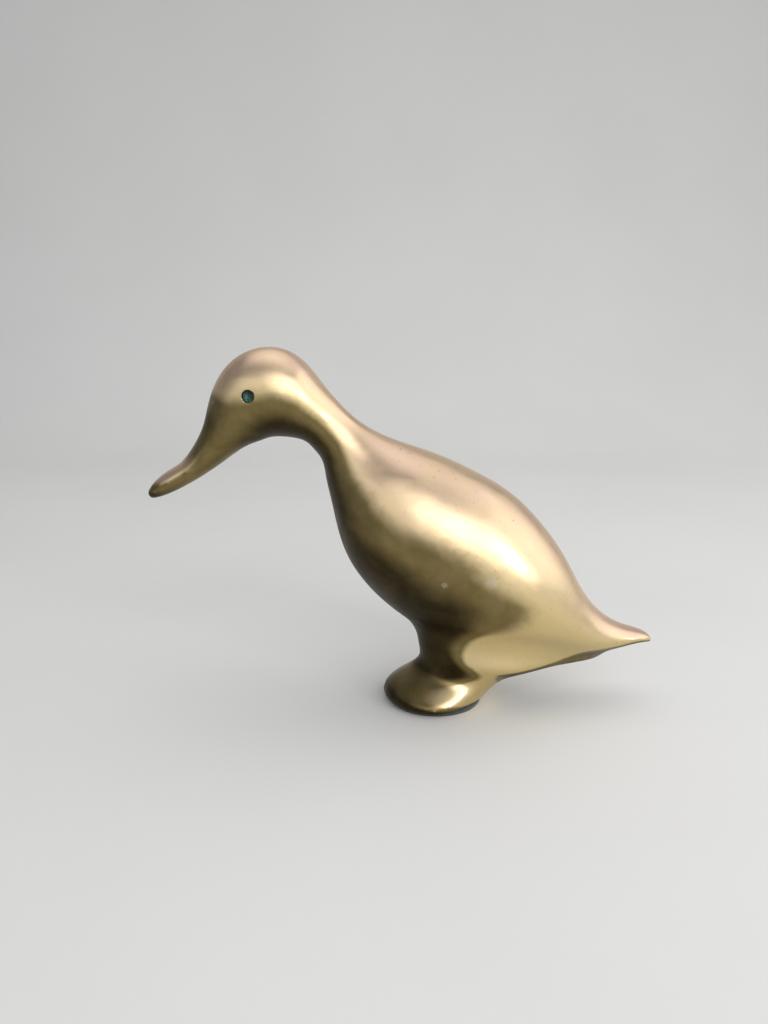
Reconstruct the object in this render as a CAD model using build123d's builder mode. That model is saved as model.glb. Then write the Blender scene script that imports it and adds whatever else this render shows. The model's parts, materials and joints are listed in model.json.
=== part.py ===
from build123d import *
import os

# Overall sizes of the casting: bill tip to tail tip, sole to crown, and across the body
length = 150.0
height = 105.6
body_width = 42.4

# Casting: wall round the hollow, most of a rib that the wall may take where the casting is thin, blend where the leg
# grows out of the body, rounding of the tips and of the sole
wall = 3.2
thin_wall_share = 0.55
leg_blend = 12.0
bill_rounding = 1.0
tail_rounding = 0.4
sole_rounding = 0.8
seam_overrun = 6.0

# Eyes: drilled and countersunk sockets with a green inlay sunk below the rim
eye_diameter = 4.0
eye_rim_diameter = 4.9
eye_socket_depth = 2.0
eye_recess = 0.9
eye_clearance = 0.05
eye_place_share = (-0.578, 0.877)

# Joint between the halves: dowels in blind holes, and a strip of filler in the inner corner of the joint
pin_diameter = 2.4
pin_length = 6.0
pin_chamfer = 0.3
pin_clearance = 0.05
pin_place_shares = [(-0.830, 0.665), (0.260, 0.075), (0.825, 0.178)]
braze_depth = 1.0
braze_width = 2.4

# Foot: vent from the hollow to the sole, and the felt that hides it
foot_place_share = 0.125
vent_diameter = 3.0
vent_height_share = 0.32
felt_diameter = 28.0
felt_thickness = 1.0

# Ribs across the head, neck and body, from the bill tip to the tail tip. Each row gives the rib's upper point and
# its lower point in the middle plane, as shares of half the length and of the height, then its width as a share of
# the body's width, the level of its widest place as a share of its half depth, and how full its upper and lower
# shoulders are.
body_rib_shares = [
    (-0.999, 0.604, -0.984, 0.585, 0.105, 0.00, 0.74, 0.74),
    (-0.975, 0.628, -0.945, 0.592, 0.190, 0.00, 0.74, 0.74),
    (-0.925, 0.659, -0.885, 0.609, 0.240, 0.00, 0.73, 0.73),
    (-0.865, 0.686, -0.803, 0.640, 0.265, 0.00, 0.72, 0.72),
    (-0.805, 0.741, -0.705, 0.685, 0.295, 0.00, 0.71, 0.70),
    (-0.765, 0.802, -0.615, 0.729, 0.350, 0.00, 0.71, 0.70),
    (-0.735, 0.876, -0.560, 0.745, 0.405, 0.00, 0.71, 0.71),
    (-0.645, 0.966, -0.515, 0.756, 0.482, 0.00, 0.71, 0.71),
    (-0.500, 0.998, -0.470, 0.758, 0.520, 0.00, 0.71, 0.71),
    (-0.390, 0.965, -0.420, 0.754, 0.490, 0.00, 0.71, 0.71),
    (-0.311, 0.899, -0.375, 0.742, 0.405, 0.00, 0.71, 0.71),
    (-0.246, 0.845, -0.348, 0.721, 0.355, 0.00, 0.71, 0.71),
    (-0.170, 0.796, -0.321, 0.694, 0.360, 0.00, 0.71, 0.71),
    (-0.060, 0.754, -0.307, 0.647, 0.450, 0.00, 0.71, 0.71),
    (0.092, 0.716, -0.286, 0.577, 0.640, 0.00, 0.71, 0.71),
    (0.250, 0.667, -0.240, 0.447, 0.860, 0.00, 0.71, 0.71),
    (0.407, 0.602, -0.133, 0.327, 0.985, 0.04, 0.71, 0.70),
    (0.531, 0.517, 0.008, 0.240, 1.000, 0.10, 0.71, 0.69),
    (0.635, 0.415, 0.190, 0.174, 0.920, 0.18, 0.71, 0.67),
    (0.699, 0.332, 0.390, 0.148, 0.760, 0.22, 0.71, 0.66),
    (0.754, 0.277, 0.570, 0.138, 0.580, 0.20, 0.71, 0.66),
    (0.815, 0.237, 0.730, 0.133, 0.420, 0.12, 0.71, 0.68),
    (0.885, 0.211, 0.855, 0.149, 0.290, 0.05, 0.71, 0.70),
    (0.950, 0.197, 0.940, 0.164, 0.200, 0.00, 0.72, 0.72),
    (0.998, 0.177, 0.996, 0.161, 0.070, 0.00, 0.74, 0.74),
]
head_end_rib = body_rib_shares[6]
rump_end_rib = body_rib_shares[19]

# Ribs across the foot, the leg and the keel behind it, from the sole upwards, by their front and rear points
leg_rib_shares = [
    (-0.070, 0.000, 0.322, 0.000, 0.720, 0.00, 0.70, 0.63),
    (-0.082, 0.010, 0.332, 0.010, 0.758, 0.00, 0.70, 0.63),
    (-0.045, 0.055, 0.376, 0.040, 0.620, 0.00, 0.71, 0.65),
    (0.060, 0.115, 0.490, 0.084, 0.540, 0.00, 0.71, 0.73),
    (0.050, 0.208, 0.673, 0.106, 0.560, 0.18, 0.72, 0.73),
    (0.150, 0.350, 0.738, 0.202, 0.720, 0.20, 0.72, 0.70),
]


def casting_point(x_share, z_share):
    """A point of the middle plane, by its shares of half the length and of the height above the felt."""
    return Vector(x_share * length / 2, 0, felt_thickness + z_share * height)


def rib_plane(rib):
    """The plane of a rib, centred on the rib and facing the tail."""
    ax, az, bx, bz = rib[:4]
    upper = casting_point(ax, az)
    lower = casting_point(bx, bz)
    across = Vector(0, 1, 0)
    return Plane(origin=(upper + lower) / 2, x_dir=across, z_dir=across.cross(upper - lower))


def half_ribs(ribs, inset):
    """The right half of each rib, drawn in by the inset and run on past the middle plane."""
    sketches = []
    for rib in ribs:
        ax, az, bx, bz, width_share, level_share, upper_share, lower_share = rib
        half_depth = (casting_point(ax, az) - casting_point(bx, bz)).length / 2
        half_width = body_width / 2 * width_share
        drawn_in = min(inset, half_depth * thin_wall_share, half_width * thin_wall_share)
        depth = half_depth - drawn_in
        side = half_width - drawn_in
        level = depth * level_share
        shoulder = level + (depth - level) * upper_share
        keel = level - (depth + level) * lower_share
        with BuildSketch(rib_plane(rib)) as half_rib:
            with BuildLine():
                Spline(
                    (0, depth),
                    (side * upper_share, shoulder),
                    (side, level),
                    (side * lower_share, keel),
                    (0, -depth),
                    tangents=((1, 0), (-1, 0)),
                    tangent_scalars=(1, 1),
                )
                Polyline((0, -depth), (-seam_overrun, -depth), (-seam_overrun, depth), (0, depth))
            make_face()
        sketches.append(half_rib.sketch)
    return sketches


def loft_half_hollow(inset):
    """Lofts the right half of the hollow, flat at its ends in the head and the rump, into the part being built."""
    loft(half_ribs(body_rib_shares, inset))
    split(bisect_by=Plane.XZ, keep=Keep.BOTTOM)
    split(bisect_by=rib_plane(rump_end_rib), keep=Keep.BOTTOM)
    with BuildSketch(rib_plane(head_end_rib)) as head_end:
        Rectangle(body_width, body_width)
    extrude(head_end.sketch, amount=-length / 3, mode=Mode.SUBTRACT)


# Right half of the head, neck, body and tail, its tips rounded before the overrun is cut off
with BuildPart() as half_body:
    loft(half_ribs(body_rib_shares, 0))
    bill_end = half_body.faces().sort_by(Axis.X)[0]
    fillet(bill_end.edges().sort_by(Axis.Y)[-1], radius=bill_rounding)
    tail_end = half_body.faces().sort_by(Axis.X)[-1]
    fillet(tail_end.edges().sort_by(Axis.Y)[-1], radius=tail_rounding)
    split(bisect_by=Plane.XZ, keep=Keep.BOTTOM)

# Right half of the foot, leg and keel
with BuildPart() as half_leg:
    loft(half_ribs(leg_rib_shares, 0))
    sole = half_leg.faces().sort_by(Axis.Z)[0]
    fillet(sole.edges().sort_by(Axis.Y)[-1], radius=sole_rounding)
    split(bisect_by=Plane.XZ, keep=Keep.BOTTOM)

# Right half of the hollow
with BuildPart() as half_hollow:
    loft_half_hollow(wall)

# Right half of the room for the filler, a shallow step round the hollow beside the joint
with BuildPart() as half_braze_room:
    loft_half_hollow(wall - braze_depth)
    with BuildSketch(Plane.XZ):
        Rectangle(length, height, align=(Align.CENTER, Align.MIN))
    extrude(amount=-braze_width / 2, mode=Mode.INTERSECT)

# Vent from the sole to the hollow
foot_centre = casting_point(foot_place_share, 0)
with BuildPart() as vent:
    with BuildSketch(Plane(origin=foot_centre)):
        Circle(vent_diameter / 2)
    extrude(amount=height * vent_height_share)

# Right half of the casting, with its outside blended and rounded before anything is cut into it
with BuildPart() as right_shell:
    add(half_body.part)
    add(half_leg.part)
    flank_crease = right_shell.edges(Select.NEW).sort_by(Axis.Y)[-1]
    fillet(flank_crease, radius=leg_blend)
    add(half_hollow.part, mode=Mode.SUBTRACT)
    add(half_braze_room.part, mode=Mode.SUBTRACT)

    # Eye socket, drilled square to the cheek where it meets the line through the eye
    eye_line = Axis(casting_point(*eye_place_share), (0, 1, 0))
    eye_centre, eye_direction = right_shell.part.find_intersection_points(eye_line)[-1]
    with Locations(Plane(origin=eye_centre, z_dir=eye_direction)):
        CounterSinkHole(radius=eye_diameter / 2, counter_sink_radius=eye_rim_diameter / 2, depth=eye_socket_depth)

    # Blind holes for the dowels in the joint face
    with BuildSketch(Plane.XZ):
        for x_share, z_share in pin_place_shares:
            place = casting_point(x_share, z_share)
            with Locations((place.X, place.Z)):
                Circle(pin_diameter / 2 + pin_clearance)
    extrude(amount=-(pin_length / 2 + pin_clearance), mode=Mode.SUBTRACT)
    add(vent.part, mode=Mode.SUBTRACT)
right_shell.part.label = "right_shell"

with BuildPart() as left_shell:
    mirror(right_shell.part, about=Plane.XZ)
left_shell.part.label = "left_shell"

# Strips of filler along the back and the belly, in the inner corner of the joint
with BuildPart() as seam_braze:
    add(half_braze_room.part)
    add(half_hollow.part, mode=Mode.SUBTRACT)
    mirror(about=Plane.XZ)
    add(vent.part, mode=Mode.SUBTRACT)
seam_braze.part.label = "seam_braze"

# Dowels that keep the halves in line
with BuildPart() as register_pins:
    with BuildSketch(Plane.XZ):
        for x_share, z_share in pin_place_shares:
            place = casting_point(x_share, z_share)
            with Locations((place.X, place.Z)):
                Circle(pin_diameter / 2)
    extrude(amount=pin_length / 2, both=True)
    chamfer(register_pins.edges(), length=pin_chamfer)
register_pins.part.label = "register_pins"

# Green inlays at the bottom of the eye sockets
with BuildPart() as right_eye:
    eye_floor = Plane(origin=eye_centre - eye_direction * eye_socket_depth, z_dir=eye_direction)
    with BuildSketch(eye_floor):
        Circle(eye_diameter / 2 - eye_clearance)
    extrude(amount=eye_socket_depth - eye_recess)
right_eye.part.label = "right_eye"

with BuildPart() as left_eye:
    mirror(right_eye.part, about=Plane.XZ)
left_eye.part.label = "left_eye"

# Felt under the foot
with BuildPart() as felt_pad:
    with BuildSketch(Plane.XY):
        with Locations((foot_centre.X, 0)):
            Circle(felt_diameter / 2)
    extrude(amount=felt_thickness)
felt_pad.part.label = "felt_pad"

os.makedirs("parts", exist_ok=True)
for piece in (left_shell, right_shell, seam_braze, register_pins, left_eye, right_eye, felt_pad):
    export_step(piece.part, f"parts/{piece.part.label}.step")
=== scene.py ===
import json
import math

import bpy
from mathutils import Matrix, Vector

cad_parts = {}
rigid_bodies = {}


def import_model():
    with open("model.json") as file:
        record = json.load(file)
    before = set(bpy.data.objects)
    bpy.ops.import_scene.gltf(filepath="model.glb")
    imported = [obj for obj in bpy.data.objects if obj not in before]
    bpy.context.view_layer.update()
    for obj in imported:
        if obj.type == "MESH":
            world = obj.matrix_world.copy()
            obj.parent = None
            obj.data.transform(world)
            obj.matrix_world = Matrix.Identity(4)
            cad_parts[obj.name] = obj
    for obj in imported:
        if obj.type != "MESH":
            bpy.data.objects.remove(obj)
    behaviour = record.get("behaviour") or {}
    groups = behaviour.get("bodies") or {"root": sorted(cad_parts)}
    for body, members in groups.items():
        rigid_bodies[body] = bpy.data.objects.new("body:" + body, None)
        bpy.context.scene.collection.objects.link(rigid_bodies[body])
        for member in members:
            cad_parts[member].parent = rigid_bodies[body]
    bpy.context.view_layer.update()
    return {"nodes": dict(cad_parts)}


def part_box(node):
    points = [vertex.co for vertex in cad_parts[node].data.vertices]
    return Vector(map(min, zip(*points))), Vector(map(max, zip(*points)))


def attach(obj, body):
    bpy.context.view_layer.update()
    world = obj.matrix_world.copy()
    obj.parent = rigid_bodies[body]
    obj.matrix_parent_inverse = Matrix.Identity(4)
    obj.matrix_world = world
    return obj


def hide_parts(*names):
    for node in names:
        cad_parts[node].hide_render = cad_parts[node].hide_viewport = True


bl_info = {
    "name": "Brass duck",
    "version": (1, 0, 0),
    "blender": (4, 5, 0),
    "location": "View3D > Sidebar > Duck",
    "description": "Dresses the brass duck: its worn skin, its green eyes, its felt and its studio",
    "category": "Object",
}

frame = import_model()

MM = 0.001

# Points nearer to each other than this are one, in a half and across the mirror
MERGE_DISTANCE = 0.001 * MM
MIRROR_MERGE_DISTANCE = 0.02 * MM

# Reach of the vent and the eye socket in the solids, with a little to spare
VENT_RADIUS = 1.7 * MM
VENT_TOP = 50 * MM
CAD_SOCKET_RADIUS = 2.52 * MM
CAD_SOCKET_DEPTH = 4 * MM

# Where the skin is eased: each pair runs from untouched to fully eased, or back again
EASED_ASIDE = (4 * MM, 7 * MM)
EASED_FROM_HEIGHT = (8 * MM, 12 * MM)
EASED_TO_HEIGHT = (32 * MM, 38 * MM)
KEEL_END = (58 * MM, 0, 12 * MM)
KEEL_END_RADIUS = 12 * MM

# Eye sockets; the flare gives heights over the rim in millimetres and widths as shares of the lip
SOCKET_RADIUS = 1.72 * MM
SOCKET_BOTTOM = -1.6 * MM
SOCKET_RIM = -0.25 * MM
SOCKET_FLARE = ((0.28, 0.00), (0.55, 0.10), (0.80, 0.28), (1.00, 0.55), (1.14, 1.00), (1.30, 1.75))
# Painted shade on the socket walls fades out between these distances from the eye
SOCKET_WALL_SHADE = (1.82 * MM, 1.98 * MM)

# Crust in the sockets; the dish gives widths and dips of its rings in millimetres
CRUST_RADIUS = 1.69 * MM
CRUST_DEPTH = 1.4 * MM
CRUST_DISH = ((0.10, 0.00), (0.20, 0.22), (0.30, 0.20), (0.36, 0.12), (0.40, 0.04))
LUMP_RADIUS = 1.55 * MM
LUMP_SIZE = 1.1 * MM

# Rings and rounded edge of the felt disc
FELT_RIM = 0.5 * MM
FELT_RING = 4 * MM
FELT_ROUNDING = 0.22 * MM

# Places and radii of the caught polish, two on the flank and one before the eye
RESIDUE_SPOTS = (
    ((0.0236, -0.0211, 0.0439), 0.0026),
    ((0.0105, -0.0208, 0.0428), 0.0012),
    ((-0.0535, -0.0050, 0.0915), 0.0013),
)

# Colours that stay with their finish, and the dark colour of the painted shadow in the eye crust
RESIDUE_COLOUR = (0.66, 0.63, 0.55)
CRUST_SHADE_COLOUR = (0.022, 0.018, 0.010)
CRUST_DUST_COLOUR = (0.36, 0.50, 0.42)

# Studio, in metres; a lamp is its name, place, target, width and height
FLOOR_SIZE = 3.0
BACKDROP_DISTANCE = 0.6
BACKDROP_HEIGHT = 1.6
SWEEP_RADIUS = 0.22
LAMPS = (
    ("window", (0.47, -0.42, 0.21), (0.01, 0, 0.05), 0.08, 0.12),
    ("overhead", (0.04, 0.15, 0.80), (0, 0, 0.04), 1.10, 0.95),
    ("front", (0.30, -0.85, 0.50), (0.01, 0, 0.05), 1.00, 0.70),
    ("side", (0.66, 0.00, 0.38), (0.03, 0, 0.05), 1.00, 0.70),
    ("left", (-0.55, -0.72, 0.38), (0, 0, 0.05), 0.80, 0.55),
)
LAMP_SPREAD = math.radians(110)
SURROUND_COLOUR = (0.82, 0.86, 0.92)
SURROUND_STRENGTH = 0.30
CAMERA_PLACE = (-0.006144, -0.256057, 0.122427)
CAMERA_TILT = math.radians(76)
CAMERA_LENS = 31.64


# Sizes and colours that a user would change

class DuckSkinSettings(bpy.types.PropertyGroup):
    grain_size: bpy.props.FloatProperty(
        name="Mesh size", description="Edge length of the skin's mesh", default=0.62 * MM, unit="LENGTH")
    smoothing: bpy.props.IntProperty(
        name="Smoothing", description="Rounds of smoothing after the skin is remeshed", default=10, min=0)
    easing: bpy.props.IntProperty(
        name="Easing", description="Extra rounds of smoothing where the leg and the keel run into the body",
        default=30, min=0)
    lip_width: bpy.props.FloatProperty(
        name="Eye lip", description="Width of the worn lip round each eye socket", default=0.26 * MM,
        unit="LENGTH")
    # The worn and golden colours are spread by painted sheen, paler where the surface faces up
    worn_colour: bpy.props.FloatVectorProperty(
        name="Worn brass", description="Colour where hands keep the brass bright", subtype="COLOR", size=3,
        default=(0.800, 0.615, 0.370))
    golden_colour: bpy.props.FloatVectorProperty(
        name="Golden brass", description="Colour of the rubbed brass on the sides", subtype="COLOR", size=3,
        default=(0.700, 0.555, 0.275))
    # Olive painted shade where the surface faces forward and down
    olive_colour: bpy.props.FloatVectorProperty(
        name="Toned brass", description="Colour of the brass that has toned to olive", subtype="COLOR",
        size=3, default=(0.155, 0.115, 0.040))
    # Copper tone laid on with painted sheen where the crown and the back face up
    copper_colour: bpy.props.FloatVectorProperty(
        name="Copper bloom", description="Pinkish bloom along the crown and the back", subtype="COLOR",
        size=3, default=(0.800, 0.560, 0.425))
    # Brown painted shade below, in front and on the socket walls, and the brown of the freckles and pits
    tarnish_and_shade_colour: bpy.props.FloatVectorProperty(
        name="Tarnish", description="Brown tarnish on the underside and in the hollows", subtype="COLOR",
        size=3, default=(0.030, 0.021, 0.009))
    roughness: bpy.props.FloatProperty(
        name="Satin", description="Mean roughness of the hand-rubbed surface", default=0.33, min=0, max=1)


class DuckEyeSettings(bpy.types.PropertyGroup):
    deep_colour: bpy.props.FloatVectorProperty(
        name="Deep green", description="Darker green of the eye's crust", subtype="COLOR", size=3,
        default=(0.012, 0.040, 0.036))
    pale_colour: bpy.props.FloatVectorProperty(
        name="Pale green", description="Paler green of the eye's crust", subtype="COLOR", size=3,
        default=(0.085, 0.260, 0.215))
    crust_height: bpy.props.FloatProperty(
        name="Crust height", description="How uneven the crust is", default=0.22 * MM, unit="LENGTH")


class DuckFeltSettings(bpy.types.PropertyGroup):
    felt_colour: bpy.props.FloatVectorProperty(
        name="Felt", description="Colour of the pressed felt", subtype="COLOR", size=3,
        default=(0.020, 0.034, 0.024))
    fibre_colour: bpy.props.FloatVectorProperty(
        name="Fibres", description="Colour of the loose fibres", subtype="COLOR", size=3,
        default=(0.055, 0.080, 0.058))


class DuckStageSettings(bpy.types.PropertyGroup):
    floor_colour: bpy.props.FloatVectorProperty(
        name="Floor", description="Colour of the floor and the backdrop", subtype="COLOR", size=3,
        default=(0.80, 0.79, 0.77))
    window_power: bpy.props.FloatProperty(
        name="Window light", description="Power of the small light that gives the crisp glints", default=0.17,
        unit="POWER")
    overhead_power: bpy.props.FloatProperty(
        name="Overhead light", description="Power of the wide light above", default=1.15, unit="POWER")
    front_power: bpy.props.FloatProperty(
        name="Front light", description="Power of the light in front on the tail side", default=2.0,
        unit="POWER")
    side_power: bpy.props.FloatProperty(
        name="Side light", description="Power of the wide light beyond the tail", default=1.1, unit="POWER")
    left_power: bpy.props.FloatProperty(
        name="Left light", description="Power of the weak light from the left", default=0.38, unit="POWER")


# Steps that several pieces use

def only(*objects):
    """Selects these objects alone, the first one active."""
    bpy.ops.object.select_all(action="DESELECT")
    for thing in objects:
        thing.select_set(True)
    bpy.context.view_layer.objects.active = objects[0]


def apply_modifier(piece, kind, **values):
    """Adds a modifier with these values and applies it."""
    modifier = piece.modifiers.new(kind.title(), kind)
    for name, value in values.items():
        setattr(modifier, name, value)
    only(piece)
    bpy.ops.object.modifier_apply(modifier=modifier.name)


def settle(piece):
    """Puts a new piece's place and turn into its mesh."""
    only(piece)
    bpy.ops.object.transform_apply(location=True, rotation=True, scale=True)


def pick(piece, kind, test):
    """In edit mode, selects the elements of one kind that pass a test."""
    bpy.ops.object.mode_set(mode="EDIT")
    bpy.ops.mesh.select_mode(type=kind)
    bpy.ops.mesh.select_all(action="DESELECT")
    bpy.ops.object.mode_set(mode="OBJECT")
    mesh = piece.data
    elements = {"VERT": mesh.vertices, "FACE": mesh.polygons}[kind]
    for element in elements:
        element.select = test(element)
    bpy.ops.object.mode_set(mode="EDIT")


def coat(piece, material):
    """Gives a piece this material alone."""
    piece.data.materials.clear()
    piece.data.materials.append(material)


def eye_line():
    """Centre and outward direction of the right eye's inlay, from its own node."""
    mesh = frame["nodes"]["right_eye"].data
    outer = [face for face in mesh.polygons if face.normal.y > 0.9]
    area = sum(face.area for face in outer)
    centre = sum((face.center * face.area for face in outer), Vector()) / area
    direction = sum((face.normal * face.area for face in outer), Vector()).normalized()
    return centre, direction


def ramp(value, low, high):
    """Zero below the low value, one above the high one, straight between them."""
    return min(1, max(0, (value - low) / (high - low)))


def flipped(vector):
    """The same place or direction on the other side of the duck."""
    return Vector((vector.x, -vector.y, vector.z))


def round_line(point, centre, direction):
    """How far a point lies from a line through a centre, and how far along it."""
    offset = point - centre
    along = offset.dot(direction)
    return (offset - direction * along).length, along


# Materials

class NodeBench:
    """A material's node tree, with short words for the nodes that this object uses."""

    def __init__(self, name):
        self.material = bpy.data.materials.new(name)
        self.material.use_nodes = True
        self.tree = self.material.node_tree
        self.shader = self.tree.nodes["Principled BSDF"]
        self.place = self.tree.nodes.new("ShaderNodeTexCoord")

    def add(self, kind, **values):
        node = self.tree.nodes.new("ShaderNode" + kind)
        for name, value in values.items():
            setattr(node, name, value)
        return node

    def join(self, source, target):
        self.tree.links.new(source, target)

    def noise(self, scale, detail=4.0, rough=0.5, distortion=0.0, stretch=None):
        """Cloudy noise in object space; stretch gives its size along each axis."""
        node = self.add("TexNoise")
        node.inputs["Scale"].default_value = scale
        node.inputs["Detail"].default_value = detail
        node.inputs["Roughness"].default_value = rough
        node.inputs["Distortion"].default_value = distortion
        if stretch:
            mapping = self.add("Mapping")
            mapping.inputs["Scale"].default_value = stretch
            self.join(self.place.outputs["Object"], mapping.inputs["Vector"])
            self.join(mapping.outputs["Vector"], node.inputs["Vector"])
        else:
            self.join(self.place.outputs["Object"], node.inputs["Vector"])
        return node.outputs["Fac"]

    def range(self, value, low, high, out_low=0.0, out_high=1.0):
        """Maps a stretch of a value to another one, smoothly and clamped."""
        node = self.add("MapRange", interpolation_type="SMOOTHSTEP")
        limits = {"From Min": low, "From Max": high, "To Min": out_low, "To Max": out_high}
        for name, number in limits.items():
            node.inputs[name].default_value = number
        self.join(value, node.inputs["Value"])
        return node.outputs["Result"]

    def maths(self, operation, first, second):
        """One calculation on two values, each a number or the output of a node."""
        node = self.add("Math", operation=operation)
        for slot, value in enumerate((first, second)):
            if isinstance(value, (int, float)):
                node.inputs[slot].default_value = value
            else:
                self.join(value, node.inputs[slot])
        return node.outputs[0]

    def times(self, first, second):
        return self.maths("MULTIPLY", first, second)

    def plus(self, first, second):
        return self.maths("ADD", first, second)

    def mix(self, factor, first, second):
        """Mixes two colours, each a plain colour or the output of a node."""
        node = self.add("Mix", data_type="RGBA", clamp_factor=True)
        self.join(factor, node.inputs[0])
        for slot, value in ((6, first), (7, second)):
            if isinstance(value, bpy.types.NodeSocket):
                self.join(value, node.inputs[slot])
            else:
                node.inputs[slot].default_value = (*value, 1.0)
        return node.outputs[2]

    def distance(self, point):
        node = self.add("VectorMath", operation="DISTANCE")
        node.inputs[1].default_value = point
        self.join(self.place.outputs["Object"], node.inputs[0])
        return node.outputs["Value"]

    def near(self, point, radius):
        """One at a point of the object, falling to zero at the radius."""
        return self.range(self.distance(point), radius * 0.35, radius, 1.0, 0.0)

    def bump(self, height, distance, strength=1.0, normal=None):
        node = self.add("Bump")
        node.inputs["Distance"].default_value = distance
        node.inputs["Strength"].default_value = strength
        self.join(height, node.inputs["Height"])
        if normal is not None:
            self.join(normal, node.inputs["Normal"])
        return node.outputs["Normal"]

    def where(self):
        """The three coordinates of a point in the object's own space."""
        node = self.add("SeparateXYZ")
        self.join(self.place.outputs["Object"], node.inputs[0])
        return node.outputs

    def facing(self):
        """The three shares of the surface's direction in the object's own space."""
        node = self.add("SeparateXYZ")
        self.join(self.place.outputs["Normal"], node.inputs[0])
        return node.outputs


def painted_shade(bench):
    """Amount of painted shade: little on the back, tail and keel, more in front and below."""
    facing_x, _, facing_z = bench.facing()
    along, _, up = bench.where()
    # Painted light on the side of the keel
    above_edge = bench.maths("SUBTRACT", up, bench.times(along, 0.20))
    heel_to_edge = bench.maths(
        "MAXIMUM", bench.range(above_edge, 0.0050, 0.0086), bench.range(along, 0.024, 0.032, 1, 0))
    keel = bench.times(bench.range(along, 0.011, 0.027), bench.range(up, 0.020, 0.037, 1.0, 0.0))
    # A negative share is painted light and a positive one painted shade: light on the keel, bill, face and
    # shoulder, shadow on the toe
    spots = (
        (bench.times(keel, heel_to_edge), -0.95),
        (bench.near((0.006, 0, 0.005), 0.026), 0.50),  # toe
        (bench.range(along, -0.062, -0.052, 1.0, 0.0), -0.10),  # bill
        (bench.near((-0.046, 0, 0.108), 0.026), -0.60),  # face
        (bench.near((-0.006, 0, 0.066), 0.030), -0.15),  # shoulder
    )
    # Painted shade where the surface faces forward and down
    shade_amount = bench.plus(bench.times(facing_x, -0.65), bench.times(facing_z, -0.76))
    for spot, share in spots:
        shade_amount = bench.plus(shade_amount, bench.times(spot, share))
    return shade_amount


def sand_pits(bench):
    """Small pits that the casting sand has left, here and there."""
    pits = bench.add("TexVoronoi", feature="F1")
    pits.inputs["Scale"].default_value = 210
    bench.join(bench.place.outputs["Object"], pits.inputs["Vector"])
    field = bench.range(bench.noise(70, 2, 0.5), 0.56, 0.66)
    return bench.times(bench.range(pits.outputs["Distance"], 0.025, 0.055, 1.0, 0.0), field)


def residue(bench):
    """Polish caught on the flank and before the eye."""
    spots = 0
    for place, radius in RESIDUE_SPOTS:
        spots = bench.plus(spots, bench.near(place, radius))
    return bench.times(spots, bench.range(bench.noise(2600, 5, 0.75), 0.48, 0.62, 0.16, 1.0))


def brass_with_painted_shade(settings, eye_centres):
    """Old brass with painted sheen on top and painted shade below and in front, with pits and a little
    residue.
    """
    bench = NodeBench("worn brass")
    shader = bench.shader
    worn, golden, olive, copper, brown = (tuple(colour) for colour in (
        settings.worn_colour, settings.golden_colour, settings.olive_colour, settings.copper_colour,
        settings.tarnish_and_shade_colour))
    facing_z = bench.facing()[2]
    up = bench.where()[2]
    clouds = bench.noise(46, 5, 0.55, 0.6)
    patches = bench.noise(120, 6, 0.6, 0.4)
    fine = bench.noise(900, 4, 0.6)

    # Painted sheen: the worn colour where the metal faces up, golden on the sides, and copper laid on with
    # painted sheen where it faces up
    colour = bench.mix(bench.range(facing_z, -0.25, 0.45), golden, worn)
    upward = bench.times(bench.range(facing_z, 0.05, 0.85), bench.range(up, 0.014, 0.022))
    sheen = bench.times(upward, bench.range(bench.noise(60, 4, 0.5, 0.8), 0.30, 0.62, 0.25, 1.0))
    colour = bench.mix(bench.times(sheen, 0.85), colour, copper)

    # Painted shade: the back, the tail and the keel stay bright; what faces forward and down is darkened to
    # olive, then brown
    mottled_shade = bench.plus(painted_shade(bench), bench.range(clouds, 0.3, 0.7, -0.06, 0.06))
    shaded = bench.times(bench.range(mottled_shade, -0.24, 0.02), bench.range(patches, 0.25, 0.75, 0.82, 0.95))
    colour = bench.mix(shaded, colour, olive)
    shade = bench.times(bench.range(mottled_shade, 0.10, 0.50), bench.range(patches, 0.25, 0.75, 0.85, 0.98))
    colour = bench.mix(shade, colour, brown)

    # Painted shade: the walls of the eye sockets are darkened brown
    for centre in eye_centres:
        inside = bench.range(bench.distance(centre), *SOCKET_WALL_SHADE, 0.9, 0.0)
        colour = bench.mix(inside, colour, brown)

    # Freckles of tone, small dark pits and pale residue
    freckles = bench.range(fine, 0.60, 0.74)
    pits = sand_pits(bench)
    colour = bench.mix(bench.times(freckles, 0.22), colour, brown)
    colour = bench.mix(bench.times(pits, 0.8), colour, brown)
    colour = bench.mix(bench.times(residue(bench), 0.75), colour, RESIDUE_COLOUR)
    bench.join(colour, shader.inputs["Base Color"])

    # Rubbed satin, duller where the brown shade is painted
    rubbed = bench.noise(260, 4, 0.6, 0.0, (0.35, 1.0, 1.0))
    satin = bench.range(rubbed, 0.25, 0.75, settings.roughness - 0.05, settings.roughness + 0.07)
    dulled = bench.plus(satin, bench.times(shade, 0.10))
    bench.join(bench.plus(dulled, bench.times(pits, 0.25)), shader.inputs["Roughness"])
    shader.inputs["Metallic"].default_value = 1.0

    # Slow waves left by filing, a fine skin, and the pits
    waves = bench.bump(bench.noise(75, 2, 0.4), 0.45 * MM, 0.50)
    skin = bench.bump(fine, 0.05 * MM, 0.35, waves)
    bench.join(bench.bump(bench.maths("SUBTRACT", 1.0, pits), 0.10 * MM, 0.8, skin), shader.inputs["Normal"])
    return bench.material


def joint_brass(name, colour, dark):
    """Plain brass of the pieces inside the casting, dull and a little blotched."""
    bench = NodeBench(name)
    blotches = bench.range(bench.noise(400, 5, 0.6), 0.35, 0.70)
    bench.join(bench.mix(blotches, colour, dark), bench.shader.inputs["Base Color"])
    bench.join(bench.range(blotches, 0, 1, 0.38, 0.60), bench.shader.inputs["Roughness"])
    bench.join(bench.bump(bench.noise(1600, 3, 0.5), 0.05 * MM, 0.5), bench.shader.inputs["Normal"])
    bench.shader.inputs["Metallic"].default_value = 1.0
    return bench.material


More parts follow.
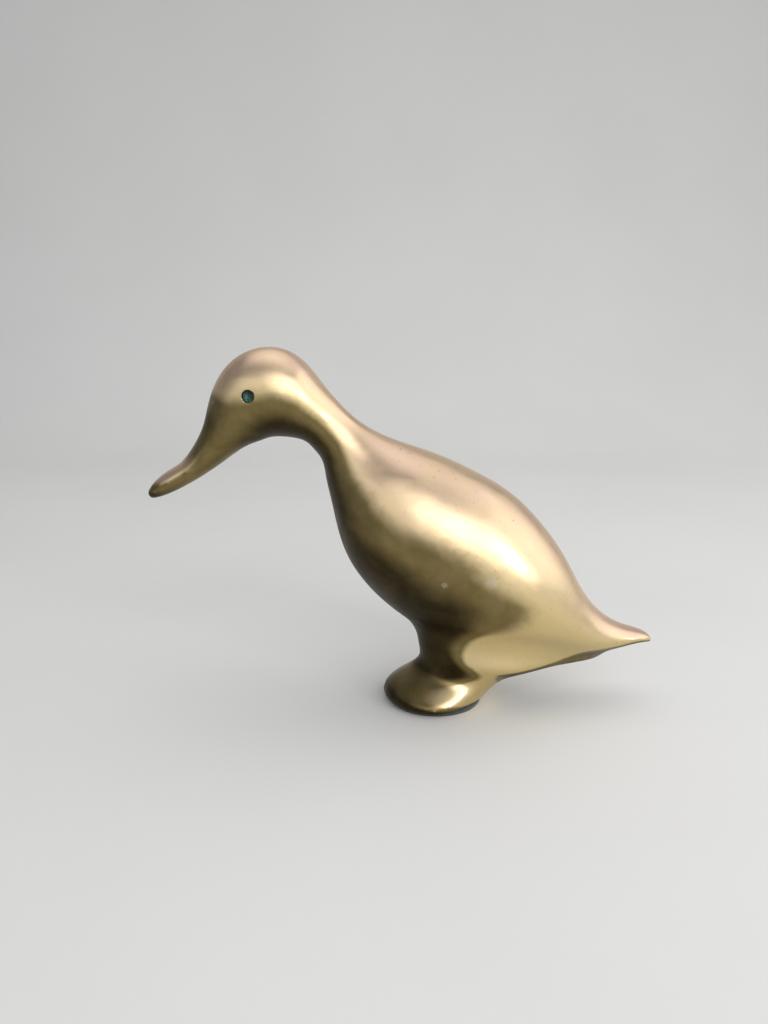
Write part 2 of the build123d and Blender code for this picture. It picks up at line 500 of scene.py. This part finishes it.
def eye_crust(settings, centre):
    """Green crust at the bottom of an eye socket, matt, with a dusting of paler grains and a painted shadow
    of the rim.
    """
    bench = NodeBench("green crust")
    grains = bench.range(bench.noise(1700, 5, 0.65), 0.35, 0.68)
    along, _, up = bench.where()
    middle = centre.x + centre.z
    # Painted shadow of the socket's rim over the crust's upper rear part
    rim_shadow = bench.range(bench.plus(along, up), middle - 1.2 * MM, middle + 1.0 * MM)
    colour = bench.mix(grains, tuple(settings.deep_colour), tuple(settings.pale_colour))
    colour = bench.mix(bench.times(rim_shadow, 0.92), colour, CRUST_SHADE_COLOUR)
    dust = bench.range(bench.noise(4200, 3, 0.6), 0.60, 0.72)
    colour = bench.mix(bench.times(dust, 0.5), colour, CRUST_DUST_COLOUR)
    bench.join(colour, bench.shader.inputs["Base Color"])
    bench.join(bench.range(grains, 0, 1, 0.55, 0.85), bench.shader.inputs["Roughness"])
    bench.join(bench.bump(grains, 0.12 * MM, 0.8), bench.shader.inputs["Normal"])
    return bench.material


def pressed_felt(settings):
    """Pressed felt, with a soft nap of loose fibres."""
    bench = NodeBench("pressed felt")
    lay = bench.noise(900, 6, 0.7, 1.5)
    fibres = bench.noise(2600, 4, 0.7, 2.0, (1.0, 0.35, 1.0))
    nap = bench.times(bench.range(lay, 0.35, 0.7), bench.range(fibres, 0.40, 0.65))
    bench.join(bench.mix(nap, tuple(settings.felt_colour), tuple(settings.fibre_colour)),
               bench.shader.inputs["Base Color"])
    bench.join(bench.range(nap, 0, 1, 0.85, 0.97), bench.shader.inputs["Roughness"])
    bench.join(bench.bump(fibres, 0.15 * MM, 0.7), bench.shader.inputs["Normal"])
    bench.shader.inputs["Sheen Weight"].default_value = 0.35
    bench.shader.inputs["Sheen Roughness"].default_value = 0.6
    return bench.material


def studio_card(settings):
    """Pale painted floor and backdrop, with the faintest mottle."""
    bench = NodeBench("studio card")
    mottle = bench.range(bench.noise(9, 4, 0.5), 0.3, 0.7)
    pale = tuple(settings.floor_colour)
    colour = bench.mix(mottle, pale, tuple(channel * 0.975 for channel in pale))
    bench.join(colour, bench.shader.inputs["Base Color"])
    bench.shader.inputs["Roughness"].default_value = 0.8
    return bench.material


# The casting's skin

class DUCK_OT_skin(bpy.types.Operator):
    """One unbroken skin of worn brass over both halves of the casting, with drilled eye sockets"""

    bl_idname = "duck.skin"
    bl_label = "Brass skin"

    def execute(self, context):
        settings = context.scene.duck_skin
        centre, direction = eye_line()
        skin = self.half_outside(centre, direction)
        apply_modifier(skin, "MIRROR", use_axis=(False, True, False), merge_threshold=MIRROR_MERGE_DISTANCE)
        apply_modifier(skin, "REMESH", mode="VOXEL", voxel_size=settings.grain_size)
        apply_modifier(skin, "SMOOTH", factor=0.5, iterations=settings.smoothing)
        self.ease(skin, settings.easing)
        for socket_centre, socket_direction in ((centre, direction), (flipped(centre), flipped(direction))):
            self.drill(skin, socket_centre, socket_direction, settings.lip_width)
        only(skin)
        bpy.ops.object.shade_smooth_by_angle(angle=math.radians(50))
        coat(skin, brass_with_painted_shade(settings, (centre, flipped(centre))))
        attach(skin, "root")
        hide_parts("left_shell", "right_shell")
        return {"FINISHED"}

    def half_outside(self, centre, direction):
        """The outer surface of the right half alone, with its eye socket and vent closed."""
        shell = bpy.data.objects.new("brass_skin", frame["nodes"]["right_shell"].data.copy())
        bpy.context.scene.collection.objects.link(shell)
        only(shell)
        bpy.ops.object.mode_set(mode="EDIT")
        bpy.ops.mesh.select_all(action="SELECT")
        bpy.ops.mesh.remove_doubles(threshold=MERGE_DISTANCE)
        bpy.ops.object.mode_set(mode="OBJECT")

        # The joint face goes, and with it the tie between the outside and the hollow
        vertices = shell.data.vertices

        def on_joint(face):
            return all(abs(vertices[k].co.y) < 2 * MERGE_DISTANCE for k in face.vertices)

        pick(shell, "FACE", on_joint)
        bpy.ops.mesh.delete(type="FACE")

        # The walls of the vent and of the eye socket
        felt_low, felt_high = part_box("felt_pad")
        foot = (felt_low + felt_high) / 2

        def in_vent(point, top):
            return math.hypot(point.x - foot.x, point.y) < VENT_RADIUS and point.z < top

        def in_socket(point):
            aside, along = round_line(point, centre, direction)
            return aside < CAD_SOCKET_RADIUS and abs(along) < CAD_SOCKET_DEPTH

        def in_wall(face):
            points = [vertices[k].co for k in face.vertices]
            return all(in_vent(point, VENT_TOP) for point in points) or all(map(in_socket, points))

        pick(shell, "FACE", in_wall)
        bpy.ops.mesh.delete(type="FACE")

        # What still hangs on the crown is the outside; the hollow goes
        crown = max(vertices, key=lambda vertex: vertex.co.z).index
        pick(shell, "VERT", lambda vertex: vertex.index == crown)
        bpy.ops.mesh.select_linked()
        bpy.ops.mesh.select_all(action="INVERT")
        bpy.ops.mesh.delete(type="VERT")

        # The socket's mouth is closed with a flat cap, and the rest of the vent with the sole
        for at_mouth in (lambda vertex: in_socket(vertex.co), lambda vertex: in_vent(vertex.co, foot.z + MM)):
            pick(shell, "VERT", at_mouth)
            bpy.ops.mesh.edge_face_add()
        bpy.ops.object.mode_set(mode="OBJECT")
        return shell

    def ease(self, skin, rounds):
        """Softens the hollows beside the leg and the keel, and the end of the keel, and leaves the rest."""
        group = skin.vertex_groups.new(name="hollows")
        for vertex in skin.data.vertices:
            place = vertex.co
            aside = ramp(abs(place.y), *EASED_ASIDE)
            at_height = ramp(place.z, *EASED_FROM_HEIGHT) - ramp(place.z, *EASED_TO_HEIGHT)
            at_keel_end = 1 - ramp((place - Vector(KEEL_END)).length, 0, KEEL_END_RADIUS)
            weight = max(aside * at_height, at_keel_end)
            if weight > 0:
                group.add([vertex.index], weight, "REPLACE")
        apply_modifier(skin, "SMOOTH", factor=0.5, iterations=rounds, vertex_group="hollows")
        skin.vertex_groups.clear()

    def drill(self, skin, centre, direction, lip):
        """Cuts one eye socket with a rounded, worn lip."""
        last_height = SOCKET_BOTTOM
        last_radius = SOCKET_RADIUS
        bpy.ops.object.select_all(action="DESELECT")
        bpy.ops.mesh.primitive_circle_add(
            vertices=64, radius=last_radius, location=(0, 0, last_height), fill_type="NGON")
        cutter = bpy.context.object
        settle(cutter)
        bpy.ops.object.mode_set(mode="EDIT")
        bpy.ops.mesh.select_all(action="SELECT")
        for rise, share in SOCKET_FLARE:
            height = rise * MM + SOCKET_RIM
            radius = SOCKET_RADIUS + share * lip
            growth = radius / last_radius
            bpy.ops.mesh.extrude_region_move(TRANSFORM_OT_translate={"value": (0, 0, height - last_height)})
            bpy.ops.transform.resize(value=(growth, growth, 1), center_override=(0, 0, height))
            last_height = height
            last_radius = radius
        bpy.ops.mesh.select_all(action="SELECT")
        bpy.ops.mesh.normals_make_consistent(inside=False)
        bpy.ops.object.mode_set(mode="OBJECT")
        cutter.rotation_euler = direction.to_track_quat("Z", "Y").to_euler()
        cutter.location = centre
        settle(cutter)
        apply_modifier(skin, "BOOLEAN", operation="DIFFERENCE", object=cutter, solver="EXACT")
        bpy.data.objects.remove(cutter)


class DUCK_OT_eyes(bpy.types.Operator):
    """Uneven green crust at the bottom of both eye sockets"""

    bl_idname = "duck.eyes"
    bl_label = "Green eyes"

    def execute(self, context):
        settings = context.scene.duck_eye
        centre, direction = eye_line()
        crust = eye_crust(settings, centre)
        sockets = {"right_eye": (centre, direction), "left_eye": (flipped(centre), flipped(direction))}
        for side, (place, way) in sockets.items():
            bpy.ops.object.select_all(action="DESELECT")
            bpy.ops.mesh.primitive_cylinder_add(
                vertices=48, radius=CRUST_RADIUS, depth=CRUST_DEPTH, end_fill_type="NGON")
            eye = bpy.context.object
            eye.name = side + "_crust"
            pick(eye, "FACE", lambda face: face.normal.z > 0.9)
            for width, dip in CRUST_DISH:
                bpy.ops.mesh.inset(thickness=width * MM, depth=-dip * MM)
            bpy.ops.mesh.poke()
            bpy.ops.object.mode_set(mode="OBJECT")
            apply_modifier(eye, "SUBSURF", subdivision_type="SIMPLE", levels=2, render_levels=2)
            texture = bpy.data.textures.new(side + "_lumps", "CLOUDS")
            texture.noise_scale = LUMP_SIZE
            texture.noise_depth = 3
            group = eye.vertex_groups.new(name="top")
            top = [vertex.index for vertex in eye.data.vertices
                   if vertex.co.z > 0 and math.hypot(*vertex.co.xy) < LUMP_RADIUS]
            group.add(top, 1.0, "ADD")
            apply_modifier(eye, "DISPLACE", texture=texture, direction="Z", mid_level=0.7,
                           strength=settings.crust_height * 2, vertex_group="top", texture_coords="LOCAL")
            eye.rotation_euler = way.to_track_quat("Z", "Y").to_euler()
            eye.location = place - way * CRUST_DEPTH / 2
            settle(eye)
            bpy.ops.object.shade_smooth_by_angle(angle=math.radians(40))
            eye.vertex_groups.clear()
            coat(eye, crust)
            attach(eye, "root")
            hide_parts(side)
        return {"FINISHED"}


class DUCK_OT_felt(bpy.types.Operator):
    """Felt disc under the foot, with a softened edge"""

    bl_idname = "duck.felt"
    bl_label = "Felt pad"

    def execute(self, context):
        low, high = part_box("felt_pad")
        size = high - low
        bpy.ops.object.select_all(action="DESELECT")
        bpy.ops.mesh.primitive_cylinder_add(
            vertices=144, radius=size.x / 2, depth=size.z, location=(low + high) / 2, end_fill_type="NGON")
        felt = bpy.context.object
        felt.name = "felt_disc"
        settle(felt)
        pick(felt, "FACE", lambda face: abs(face.normal.z) > 0.9)
        bpy.ops.mesh.inset(thickness=FELT_RIM, depth=0)
        bpy.ops.mesh.inset(thickness=FELT_RING, depth=0)
        bpy.ops.mesh.poke()
        bpy.ops.object.mode_set(mode="OBJECT")
        apply_modifier(felt, "BEVEL", width=FELT_ROUNDING, segments=3, limit_method="ANGLE",
                       angle_limit=math.radians(60))
        only(felt)
        bpy.ops.object.shade_smooth_by_angle(angle=math.radians(40))
        coat(felt, pressed_felt(context.scene.duck_felt))
        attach(felt, "root")
        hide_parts("felt_pad")
        return {"FINISHED"}


class DUCK_OT_joint(bpy.types.Operator):
    """Finish of the filler and the dowels inside the casting"""

    bl_idname = "duck.joint"
    bl_label = "Inner joint"

    def execute(self, context):
        finishes = {
            "seam_braze": joint_brass("joint filler", (0.60, 0.44, 0.20), (0.32, 0.22, 0.10)),
            "register_pins": joint_brass("drawn brass", (0.66, 0.50, 0.24), (0.48, 0.36, 0.17)),
        }
        for node, finish in finishes.items():
            coat(frame["nodes"][node], finish)
        return {"FINISHED"}


class DUCK_OT_stage(bpy.types.Operator):
    """Pale floor with a curved backdrop, soft studio lights and the camera"""

    bl_idname = "duck.stage"
    bl_label = "Studio"

    def execute(self, context):
        settings = context.scene.duck_stage
        self.sweep(settings)
        for name, place, target, width, height in LAMPS:
            self.lamp(name, place, target, getattr(settings, name + "_power"), width, height)
        self.world()
        self.camera()
        return {"FINISHED"}

    def sweep(self, settings):
        """Floor that curves up into the backdrop behind the duck."""
        bpy.ops.object.select_all(action="DESELECT")
        bpy.ops.mesh.primitive_plane_add(size=FLOOR_SIZE, location=(0, BACKDROP_DISTANCE - FLOOR_SIZE / 2, 0))
        floor = bpy.context.object
        floor.name = "studio_sweep"
        settle(floor)
        pick(floor, "VERT", lambda vertex: vertex.co.y > 0)
        bpy.ops.mesh.extrude_region_move(TRANSFORM_OT_translate={"value": (0, 0, BACKDROP_HEIGHT)})
        bpy.ops.object.mode_set(mode="OBJECT")
        apply_modifier(floor, "BEVEL", width=SWEEP_RADIUS, segments=24, limit_method="ANGLE")
        only(floor)
        bpy.ops.object.shade_smooth()
        coat(floor, studio_card(settings))

    def lamp(self, name, place, target, power, width, height):
        """A soft rectangular light at a place, aimed at a target."""
        data = bpy.data.lights.new(name, "AREA")
        data.shape = "RECTANGLE"
        data.size = width
        data.size_y = height
        data.energy = power
        data.spread = LAMP_SPREAD
        lamp = bpy.data.objects.new(name, data)
        bpy.context.scene.collection.objects.link(lamp)
        lamp.location = place
        lamp.rotation_euler = (Vector(target) - Vector(place)).to_track_quat("-Z", "Y").to_euler()

    def world(self):
        """Even, slightly cool light from all sides."""
        world = bpy.data.worlds.new("studio")
        bpy.context.scene.world = world
        world.use_nodes = True
        background = world.node_tree.nodes["Background"]
        background.inputs["Color"].default_value = (*SURROUND_COLOUR, 1)
        background.inputs["Strength"].default_value = SURROUND_STRENGTH

    def camera(self):
        """Camera at the photograph's viewing angle, for a frame of 768 by 1024."""
        data = bpy.data.cameras.new("camera")
        data.sensor_width = 36.0
        data.lens = CAMERA_LENS
        data.clip_start = 0.01
        camera = bpy.data.objects.new("camera", data)
        bpy.context.scene.collection.objects.link(camera)
        camera.location = CAMERA_PLACE
        camera.rotation_euler = (CAMERA_TILT, 0, 0)
        bpy.context.scene.camera = camera
        bpy.context.scene.view_settings.view_transform = "Standard"


class DUCK_PT_panel(bpy.types.Panel):
    bl_label = "Brass duck"
    bl_idname = "DUCK_PT_panel"
    bl_space_type = "VIEW_3D"
    bl_region_type = "UI"
    bl_category = "Duck"

    def draw(self, context):
        scene = context.scene
        for operator, settings in (
            (DUCK_OT_skin, scene.duck_skin),
            (DUCK_OT_eyes, scene.duck_eye),
            (DUCK_OT_felt, scene.duck_felt),
            (DUCK_OT_joint, None),
            (DUCK_OT_stage, scene.duck_stage),
        ):
            box = self.layout.box()
            box.operator(operator.bl_idname)
            if settings:
                for name in type(settings).__annotations__:
                    box.prop(settings, name)


classes = (
    DuckSkinSettings, DuckEyeSettings, DuckFeltSettings, DuckStageSettings,
    DUCK_OT_skin, DUCK_OT_eyes, DUCK_OT_felt, DUCK_OT_joint, DUCK_OT_stage, DUCK_PT_panel,
)

scene_settings = {
    "duck_skin": DuckSkinSettings,
    "duck_eye": DuckEyeSettings,
    "duck_felt": DuckFeltSettings,
    "duck_stage": DuckStageSettings,
}


def register():
    for item in classes:
        bpy.utils.register_class(item)
    for name, kind in scene_settings.items():
        setattr(bpy.types.Scene, name, bpy.props.PointerProperty(type=kind))


def unregister():
    for name in scene_settings:
        delattr(bpy.types.Scene, name)
    for item in reversed(classes):
        bpy.utils.unregister_class(item)


def main():
    register()
    bpy.ops.duck.skin()
    bpy.ops.duck.eyes()
    bpy.ops.duck.felt()
    bpy.ops.duck.joint()
    bpy.ops.duck.stage()


if __name__ == "__main__":
    main()
